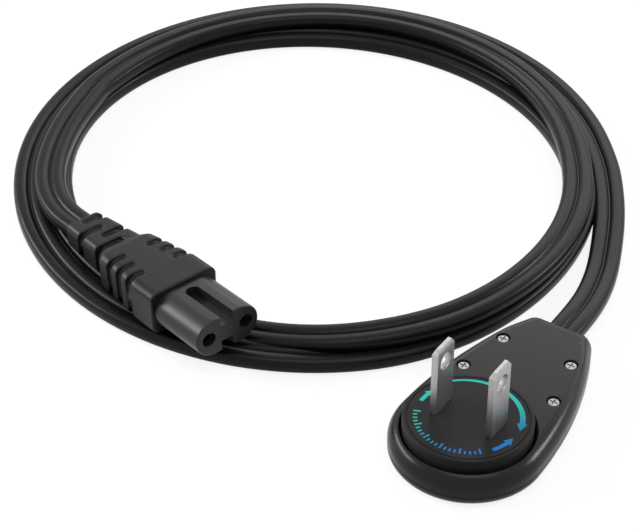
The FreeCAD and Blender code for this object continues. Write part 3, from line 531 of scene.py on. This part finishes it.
# Blades: stamped from brass strip, drilled near the tip, their tips coined to a chamfer, bent into a
# foot, nickel plated, and held in the disc's slots by the plate below. The edges are slightly eased
# by the tumbling before plating.
BLADE_EDGE_MM = 0.05
NICKEL_DEEP = (0.34, 0.336, 0.33)
NICKEL_PALE = (0.48, 0.475, 0.465)
NICKEL_BRUSH_MM = (0.35, 0.35, 9.0)
NICKEL_GLOSS = (0.30, 0.46)
NICKEL_RELIEF_MM = 0.003
nickel_finish = metal_finish(
    "brushed_nickel", NICKEL_DEEP, NICKEL_PALE, NICKEL_BRUSH_MM, NICKEL_GLOSS, NICKEL_RELIEF_MM)
for node in ("line_blade", "neutral_blade"):
    plated = copy_of_node(node, node + "_plated")
    ease_edges(plated, BLADE_EDGE_MM, SHARP_DEG)
    plated.data.materials.append(nickel_finish)
    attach(plated, "rotor")
    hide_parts(node)


# Contact springs and rivets: folded strips of spring bronze under the blades' feet, each held by one
# brass rivet, whose rounded bumps slide on the slip rings as the disc turns.
BRONZE_DEEP = (0.58, 0.36, 0.17)
BRONZE_PALE = (0.74, 0.50, 0.27)
bronze_finish = metal_finish(
    "spring_bronze", BRONZE_DEEP, BRONZE_PALE, brush_mm=(3.0, 0.2, 3.0), gloss=(0.26, 0.38), relief_mm=0.003)
dress_node("line_contact_spring", bronze_finish)
dress_node("neutral_contact_spring", bronze_finish)
dress_node("spring_rivets", brass_finish)


# Screws: four in the wall cover's recesses and three in the retaining plate, cold-headed steel with a
# cross slot and a bright plating.
STEEL_DEEP = (0.24, 0.24, 0.245)
STEEL_PALE = (0.38, 0.38, 0.385)
steel_finish = metal_finish(
    "plated_screw", STEEL_DEEP, STEEL_PALE, brush_mm=(0.3, 0.3, 0.3), gloss=(0.24, 0.40), relief_mm=0.008)
dress_node("cover_screws", steel_finish)
dress_node("plate_screws", steel_finish)


# Power cord: a flat twin lead of black PVC, extruded round two cores with a groove between them. It
# leaves the plug's end, lies in a loose coil of two turns with a part turn on top of them, and runs
# into the connector's strain relief.
CORD_WIDTH = 7.2 * MM
CORD_HEIGHT = 3.6 * MM
CORD_WEB_HALF = 0.85 * MM
CORD_SQUARENESS = 3.0
CORD_LOBE_STEPS = 18
CORD_LOWER_Z = 1.8
CORD_UPPER_Z = 5.4
COIL_CENTRE = (-80.7, 66.7)
COIL_TURN_DEG = 33.5
COIL_STEP_DEG = 15
COIL_START_DEG = 15
COIL_END_DEG = 870
OUTER_LANE = {"middle": (0.2, -0.8), "radii": (68.4, 72.4), "lean": 0.0}
INNER_LANE = {"middle": (0.65, -3.3), "radii": (62.3, 63.4), "lean": -0.026}
UPPER_LANE = {"middle": (-0.2, -3.05), "radii": (62.0, 67.2), "lean": 0.008}
INWARD_DEG = (283, 332)
CLIMB_DEG = (607, 650)
OUTWARD_DEG = (612, 668)
SWELL_DEG = (590, 632)
SHRINK_DEG = (694, 724)
CLIMB_SWELL = 0.026
LEAD_POINTS = (
    (0.0, 36.0, 3.4),
    (0.0, 44.5, 3.4),
    (-1.0, 55.0, 2.5),
    (-3.6, 65.4, 1.8),
    (-7.6, 75.6, 1.8),
    (-12.0, 85.6, 1.8),
    (-17.3, 95.3, 1.8),
    (-23.5, 104.9, 1.8),
)
TAIL_POINTS = (
    (-140.7, 56.1, 5.4),
    (-137.4, 44.1, 5.4),
    (-133.1, 34.3, 5.4),
    (-128.1, 25.8, 5.5),
    (-121.9, 18.5, 5.9),
    (-114.2, 12.9, 6.5),
    (-105.4, 10.2, 7.2),
    (-101.6, 9.0, 7.4),
)
CORD_DARK = (0.005, 0.005, 0.0055)
CORD_PALE = (0.009, 0.009, 0.0095)
CORD_GLOSS = (0.26, 0.36)
CORD_SHINE = 0.13
CORD_LINE_STRETCH = (90.0, 3.0, 1.0)
CORD_LINE_DETAIL = 3.0
CORD_RELIEF_MM = 0.02
CORD_BUMP = 0.35
CORD_UV_PER_METRE = 10
CORD_CURVE_STEPS = 6
CORD_SHARP_DEG = 50.0


def lane_point(lane, degrees):
    """A point of a lane of the coil, in the coil's own axes: an ellipse that leans to one side."""
    turn = math.radians(degrees)
    lean = 1 + lane["lean"] * math.sin(2 * turn)
    x = lane["middle"][0] + lane["radii"][0] * math.cos(turn) * lean
    y = lane["middle"][1] + lane["radii"][1] * math.sin(turn) * lean
    return Vector((x, y))


def coil_point(degrees):
    """The cord's middle at an angle counted along the coil from where the lead joins it."""
    inward = smooth_step(degrees, *INWARD_DEG)
    climb = smooth_step(degrees, *CLIMB_DEG)
    outward = smooth_step(degrees, *OUTWARD_DEG)
    flat = lane_point(OUTER_LANE, degrees).lerp(lane_point(INNER_LANE, degrees), inward)
    flat = flat.lerp(lane_point(UPPER_LANE, degrees), outward)
    flat *= 1 + CLIMB_SWELL * (smooth_step(degrees, *SWELL_DEG) - smooth_step(degrees, *SHRINK_DEG))
    turn = math.radians(COIL_TURN_DEG)
    x = COIL_CENTRE[0] + flat.x * math.cos(turn) - flat.y * math.sin(turn)
    y = COIL_CENTRE[1] + flat.x * math.sin(turn) + flat.y * math.cos(turn)
    return (x, y, CORD_LOWER_Z + climb * (CORD_UPPER_Z - CORD_LOWER_Z))


def cord_line(name, route):
    """A smooth line through a route given in millimetres, as a chain of points in metres."""
    curve = bpy.data.curves.new(name, "CURVE")
    curve.dimensions = "3D"
    curve.resolution_u = CORD_CURVE_STEPS
    spline = curve.splines.new("NURBS")
    spline.points.add(len(route) - 1)
    for point, place in zip(spline.points, route):
        point.co = (place[0] * MM, place[1] * MM, place[2] * MM, 1.0)
    spline.order_u = 3
    spline.use_endpoint_u = True
    guide = bpy.data.objects.new(name, curve)
    mesh = bpy.data.meshes.new_from_object(guide)
    line = [v.co.copy() for v in mesh.vertices]
    bpy.data.meshes.remove(mesh)
    bpy.data.objects.remove(guide)
    bpy.data.curves.remove(curve)
    return line


def twin_section(steps):
    """The cord's section as (across, up) pairs: two squarish round lobes with a groove between them."""
    radius = CORD_HEIGHT / 2
    offset = CORD_WIDTH / 2 - radius
    dip = math.asin(CORD_WEB_HALF / radius)
    section = []
    for side in (-1, 1):
        for i in range(steps + 1):
            sweep = math.pi - dip - (2 * math.pi - 2 * dip) * i / steps
            across = abs(math.cos(sweep)) ** (2 / CORD_SQUARENESS) * radius
            up = abs(math.sin(sweep)) ** (2 / CORD_SQUARENESS) * radius
            across = math.copysign(across, math.cos(sweep))
            up = math.copysign(up, math.sin(sweep))
            if side < 0:
                section.append((-offset - across, up))
            else:
                section.append((offset + across, -up))
    return section


def sweep_cord(name, line, section):
    """The section carried along the line with its flat side level, closed at both ends."""
    count = len(section)
    vertices = []
    distances = [0.0]
    for i, place in enumerate(line):
        ahead = line[min(i + 1, len(line) - 1)] - line[max(i - 1, 0)]
        across_way = Vector((ahead.y, -ahead.x, 0.0)).normalized()
        up_way = across_way.cross(ahead).normalized()
        vertices += [place + across_way * across + up_way * up for across, up in section]
        if i:
            distances.append(distances[-1] + (place - line[i - 1]).length)
    faces = []
    for i in range(len(line) - 1):
        for j in range(count):
            k = (j + 1) % count
            faces.append((i * count + j, i * count + k, (i + 1) * count + k, (i + 1) * count + j))
    last = (len(line) - 1) * count
    faces.append(tuple(range(count))[::-1])
    faces.append(tuple(last + j for j in range(count)))
    mesh = bpy.data.meshes.new(name)
    mesh.from_pydata(vertices, [], faces)
    layer = mesh.uv_layers.new(name="along")
    for polygon in mesh.polygons:
        wraps = {v % count for v in polygon.vertices} >= {0, count - 1}
        for loop_index in polygon.loop_indices:
            v = mesh.loops[loop_index].vertex_index
            j = v % count
            u = 1.0 if wraps and j == 0 else j / count
            layer.data[loop_index].uv = (u, distances[v // count] * CORD_UV_PER_METRE)
    mesh.validate()
    piece = bpy.data.objects.new(name, mesh)
    bpy.context.collection.objects.link(piece)
    pick(piece)
    bpy.ops.object.mode_set(mode="EDIT")
    bpy.ops.mesh.select_all(action="SELECT")
    bpy.ops.mesh.normals_make_consistent(inside=False)
    bpy.ops.object.mode_set(mode="OBJECT")
    bpy.ops.object.shade_smooth_by_angle(angle=math.radians(CORD_SHARP_DEG))
    return piece, distances[-1]


coil_route = [coil_point(d) for d in range(COIL_START_DEG, COIL_END_DEG + 1, COIL_STEP_DEG)]
power_line = cord_line("power_cord_line", list(LEAD_POINTS) + coil_route + list(TAIL_POINTS))
power_cord, power_cord_length = sweep_cord("power_cord", power_line, twin_section(CORD_LOBE_STEPS))

cord_finish = bpy.data.materials.new("extruded_pvc")
cord_finish.use_nodes = True
cord_nodes = cord_finish.node_tree.nodes
cord_links = cord_finish.node_tree.links
cord_shader = cord_nodes["Principled BSDF"]
cord_shader.inputs["Specular IOR Level"].default_value = CORD_SHINE
cord_map = cord_nodes.new("ShaderNodeUVMap")
cord_map.uv_map = "along"
cord_stretch = cord_nodes.new("ShaderNodeMapping")
cord_stretch.inputs["Scale"].default_value = CORD_LINE_STRETCH
cord_lines = cord_nodes.new("ShaderNodeTexNoise")
cord_lines.inputs["Scale"].default_value = 1.0
cord_lines.inputs["Detail"].default_value = CORD_LINE_DETAIL
cord_shade = cord_nodes.new("ShaderNodeMix")
cord_shade.data_type = "RGBA"
cord_shade.inputs[6].default_value = (*CORD_DARK, 1.0)
cord_shade.inputs[7].default_value = (*CORD_PALE, 1.0)
cord_gloss = cord_nodes.new("ShaderNodeMapRange")
cord_gloss.inputs["To Min"].default_value = CORD_GLOSS[0]
cord_gloss.inputs["To Max"].default_value = CORD_GLOSS[1]
cord_relief = cord_nodes.new("ShaderNodeBump")
cord_relief.inputs["Strength"].default_value = CORD_BUMP
cord_relief.inputs["Distance"].default_value = CORD_RELIEF_MM * MM
cord_links.new(cord_map.outputs["UV"], cord_stretch.inputs["Vector"])
cord_links.new(cord_stretch.outputs["Vector"], cord_lines.inputs["Vector"])
cord_links.new(cord_lines.outputs["Fac"], cord_shade.inputs[0])
cord_links.new(cord_lines.outputs["Fac"], cord_gloss.inputs["Value"])
cord_links.new(cord_lines.outputs["Fac"], cord_relief.inputs["Height"])
cord_links.new(cord_shade.outputs[2], cord_shader.inputs["Base Color"])
cord_links.new(cord_gloss.outputs["Result"], cord_shader.inputs["Roughness"])
cord_links.new(cord_relief.outputs["Normal"], cord_shader.inputs["Normal"])
power_cord.data.materials.append(cord_finish)
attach(power_cord, "housing")
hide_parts("cord_lead", "cord_coil", "cord_tail")


# Connector contacts: two tubes rolled from brass sheet, pushed into the nose from behind. The whole
# connector takes the place and the proportions that the photograph gives it, along its own axis.
CAD_AXES = {"place": (-68.3, -1.4, 9.3), "yaw_deg": -13.5, "rise_deg": 2.9}
CONNECTOR_AXES = {"place": (-69.2, -0.5, 9.3), "yaw_deg": -16.4, "rise_deg": 3.2}
CONNECTOR_REACH = (
    (-37.0, -37.8),
    (-34.05, -36.4),
    (-32.35, -34.4),
    (-30.65, -32.6),
    (-28.95, -30.6),
    (-27.25, -29.0),
    (-25.55, -27.0),
    (-23.85, -25.2),
    (-22.15, -23.2),
    (-20.0, -22.8),
    (-17.8, -20.9),
    (-14.0, -16.9),
    (-10.7, -12.8),
    (-7.4, -8.7),
    (0.0, 0.0),
    (3.2, 1.9),
    (4.7, 3.4),
    (13.4, 14.8),
)
NOSE_GIRTH = (1.13, 1.03)
# The tubes' brass is painted far darker than the slip rings' brass. This is painted shade, standing in for
# the shade deep in the nose's pin holes, not tarnish.
TUBE_SHADE_DEEP = (0.050, 0.036, 0.016)
TUBE_SHADE_PALE = (0.090, 0.066, 0.030)
TUBE_GLOSS = (0.40, 0.55)


def axes_at(place, yaw_deg, rise_deg):
    """The connector's own axes in the plug's: X along its pins, Z up."""
    turn = Matrix.Rotation(math.radians(yaw_deg), 4, "Z") @ Matrix.Rotation(-math.radians(rise_deg), 4, "Y")
    return Matrix.Translation(place) @ turn


def read_table(table, value, column):
    """A column of a table at a value between its rows."""
    for low, high in zip(table, table[1:]):
        if value <= high[0]:
            break
    return low[column] + (high[column] - low[column]) * (value - low[0]) / (high[0] - low[0])


from_plug_axes = axes_at(**CAD_AXES).inverted()
to_plug_axes = axes_at(**CONNECTOR_AXES)


def fit_nose(place):
    """A point of the nose or its contacts where the photograph has it."""
    along, across, up = from_plug_axes @ Vector(place)
    reach = read_table(CONNECTOR_REACH, along, 1)
    return to_plug_axes @ Vector((reach, across * NOSE_GIRTH[0], up * NOSE_GIRTH[1]))


# A darker copy of the brass finish: painted shade for the tubes inside the pin holes.
shaded_tube_finish = metal_finish(
    "brass_in_painted_shade", TUBE_SHADE_DEEP, TUBE_SHADE_PALE, BRASS_BRUSH_MM, TUBE_GLOSS, BRASS_RELIEF_MM)
for node in ("line_contact_sleeve", "neutral_contact_sleeve"):
    tube = copy_of_node(node, node + "_tube")
    reshape(tube, fit_nose)
    bpy.ops.object.shade_smooth_by_angle(angle=math.radians(SHARP_DEG))
    tube.data.materials.append(shaded_tube_finish)
    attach(tube, "housing")
    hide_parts(node)


# Connector nose: a hard black moulding with a figure-8 face and a groove along its top and its
# underside. It holds the contact tubes, and its edges are eased by the mould.
NOSE_EDGE_MM = 0.1
NOSE_SHARP_DEG = 32.0
NOSE_DARK = (0.012, 0.012, 0.0125)
NOSE_PALE = (0.018, 0.018, 0.0185)
nose_finish = moulded_finish(
    "nose_black", NOSE_DARK, NOSE_PALE, patch_mm=6.0, grain_mm=0.3, gloss=(0.30, 0.42), relief_mm=0.01,
    shine=0.32)
connector_nose = copy_of_node("connector_nose", "connector_nose_moulding")
reshape(connector_nose, fit_nose)
ease_edges(connector_nose, NOSE_EDGE_MM, NOSE_SHARP_DEG)
connector_nose.data.materials.append(nose_finish)
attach(connector_nose, "housing")
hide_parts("connector_nose")


# Connector grip: soft black PVC moulded over the nose and the cord's end in one shot, with three
# finger grooves a side and a strain relief whose slots come from the two sides in turn.
GRIP_VOXEL_MM = 0.2
GRIP_SOFT_FACTOR = 0.5
GRIP_SOFT_PASSES = 12
SOCKET_BACK = -8.1
SOCKET_HALF = (7.2, 4.2)
GRIP_GIRTH = (
    (-37.0, 4.7, 4.5, 1.0, 1.0),
    (-20.1, 5.4, 5.8, 1.025, 1.0),
    (-20.0, 5.4, 5.8, 1.025, 1.35),
    (-17.8, 6.7, 7.3, 1.02, 1.35),
    (-6.0, 8.9, 8.6, 0.981, 1.35),
    (0.0, 8.9, 8.6, 0.981, 1.35),
)
GRIP_DARK = (0.006, 0.006, 0.0065)
GRIP_PALE = (0.010, 0.010, 0.0105)
grip_finish = moulded_finish(
    "grip_pvc", GRIP_DARK, GRIP_PALE, patch_mm=6.0, grain_mm=0.35, gloss=(0.34, 0.46), relief_mm=0.012,
    shine=0.20)


def fit_grip(place):
    """A point of the grip where the photograph has it, with the relief's slots from the other sides."""
    along, across, up = from_plug_axes @ Vector(place)
    if along > SOCKET_BACK and abs(across) < SOCKET_HALF[0] and abs(up) < SOCKET_HALF[1]:
        return fit_nose(place)
    half, fitted, height, spread = [read_table(GRIP_GIRTH, along, column) for column in (1, 2, 3, 4)]
    share = (abs(across) / half) ** spread
    reach = read_table(CONNECTOR_REACH, along, 1)
    return to_plug_axes @ Vector((reach, -math.copysign(share * fitted, across), up * height))


connector_grip = copy_of_node("connector_grip", "connector_grip_moulding")
reshape(connector_grip, fit_grip)
connector_grip.data.flip_normals()
grip_skin = connector_grip.modifiers.new("moulded_skin", "REMESH")
grip_skin.mode = "VOXEL"
grip_skin.voxel_size = GRIP_VOXEL_MM * MM
bpy.ops.object.modifier_apply(modifier=grip_skin.name)
grip_soft = connector_grip.modifiers.new("soft_edges", "SMOOTH")
grip_soft.factor = GRIP_SOFT_FACTOR
grip_soft.iterations = GRIP_SOFT_PASSES
bpy.ops.object.modifier_apply(modifier=grip_soft.name)
bpy.ops.object.shade_smooth()
connector_grip.data.materials.append(grip_finish)
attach(connector_grip, "housing")
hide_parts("connector_grip")


# Studio: a white floor under the part, soft boxes overhead and beside it, and the camera at the
# photograph's angle.
CAMERA_PLACE = (146.8 * MM, -274.9 * MM, 280.6 * MM)
CAMERA_AIM = (-58.8 * MM, 35.7 * MM, 0.0)
CAMERA_LENS = 116.94
CAMERA_SENSOR = 36.0
CAMERA_CLIP = 0.01
FLOOR_SIZE = 6.0
FLOOR_DROP_MM = 0.05
FLOOR_COLOUR = 0.22
FLOOR_ROUGHNESS = 0.8
FLOOR_GLOW = 0.84
WORLD_LIGHT = 0.18
LIGHT_AIM = (-0.05, 0.03, 0.0)
SOFT_BOXES = (
    ("overhead_box", (0.15, -0.15, 1.00), (0.70, 0.70), 3.4),
    ("back_strip", (-0.18, 0.85, 0.52), (1.00, 0.24), 2.2),
    ("left_box", (-0.89, -0.22, 0.40), (0.80, 0.24), 8.0),
    ("right_box", (0.56, 0.62, 0.36), (0.24, 0.20), 3.0),
)


def seen_by_eye(nodes, links):
    """One for rays from the eye, straight or by a reflection or glass, and nought for light that falls."""
    path = nodes.new("ShaderNodeLightPath")
    mirrored = nodes.new("ShaderNodeMath")
    mirrored.operation = "ADD"
    either = nodes.new("ShaderNodeMath")
    either.operation = "ADD"
    either.use_clamp = True
    links.new(path.outputs["Is Glossy Ray"], mirrored.inputs[0])
    links.new(path.outputs["Is Transmission Ray"], mirrored.inputs[1])
    links.new(path.outputs["Is Camera Ray"], either.inputs[0])
    links.new(mirrored.outputs[0], either.inputs[1])
    return either.outputs[0]


bpy.ops.object.select_all(action="DESELECT")
bpy.ops.mesh.primitive_plane_add(size=FLOOR_SIZE, location=(0, 0, -FLOOR_DROP_MM * MM))
floor = bpy.context.object
floor.name = "studio_floor"
floor_finish = bpy.data.materials.new("studio_white")
floor_finish.use_nodes = True
floor_nodes = floor_finish.node_tree.nodes
floor_links = floor_finish.node_tree.links
floor_shader = floor_nodes["Principled BSDF"]
floor_shader.inputs["Base Color"].default_value = (FLOOR_COLOUR, FLOOR_COLOUR, FLOOR_COLOUR, 1.0)
floor_shader.inputs["Roughness"].default_value = FLOOR_ROUGHNESS
floor_shader.inputs["Specular IOR Level"].default_value = 0.0
floor_shader.inputs["Emission Color"].default_value = (1.0, 1.0, 1.0, 1.0)
floor_glow = floor_nodes.new("ShaderNodeMath")
floor_glow.operation = "MULTIPLY"
floor_glow.inputs[1].default_value = FLOOR_GLOW
floor_links.new(seen_by_eye(floor_nodes, floor_links), floor_glow.inputs[0])
floor_links.new(floor_glow.outputs[0], floor_shader.inputs["Emission Strength"])
floor.data.materials.append(floor_finish)

world = bpy.data.worlds.new("studio_world")
world.use_nodes = True
world_nodes = world.node_tree.nodes
world_links = world.node_tree.links
world_back = world_nodes["Background"]
world_back.inputs["Color"].default_value = (1.0, 1.0, 1.0, 1.0)
world_level = world_nodes.new("ShaderNodeMapRange")
world_level.inputs["To Min"].default_value = WORLD_LIGHT
world_level.inputs["To Max"].default_value = 1.0
world_links.new(seen_by_eye(world_nodes, world_links), world_level.inputs["Value"])
world_links.new(world_level.outputs["Result"], world_back.inputs["Strength"])
bpy.context.scene.world = world

for name, place, size, energy in SOFT_BOXES:
    light = bpy.data.lights.new(name, "AREA")
    light.shape = "RECTANGLE"
    light.size = size[0]
    light.size_y = size[1]
    light.energy = energy
    lamp = bpy.data.objects.new(name, light)
    lamp.location = place
    lamp.rotation_euler = (Vector(LIGHT_AIM) - Vector(place)).to_track_quat("-Z", "Y").to_euler()
    bpy.context.collection.objects.link(lamp)

camera_data = bpy.data.cameras.new("photo_camera")
camera_data.lens = CAMERA_LENS
camera_data.sensor_width = CAMERA_SENSOR
camera_data.clip_start = CAMERA_CLIP
camera = bpy.data.objects.new("photo_camera", camera_data)
camera.location = CAMERA_PLACE
camera.rotation_euler = (Vector(CAMERA_AIM) - Vector(CAMERA_PLACE)).to_track_quat("-Z", "Y").to_euler()
bpy.context.collection.objects.link(camera)
bpy.context.scene.camera = camera
bpy.context.scene.view_settings.view_transform = "Standard"
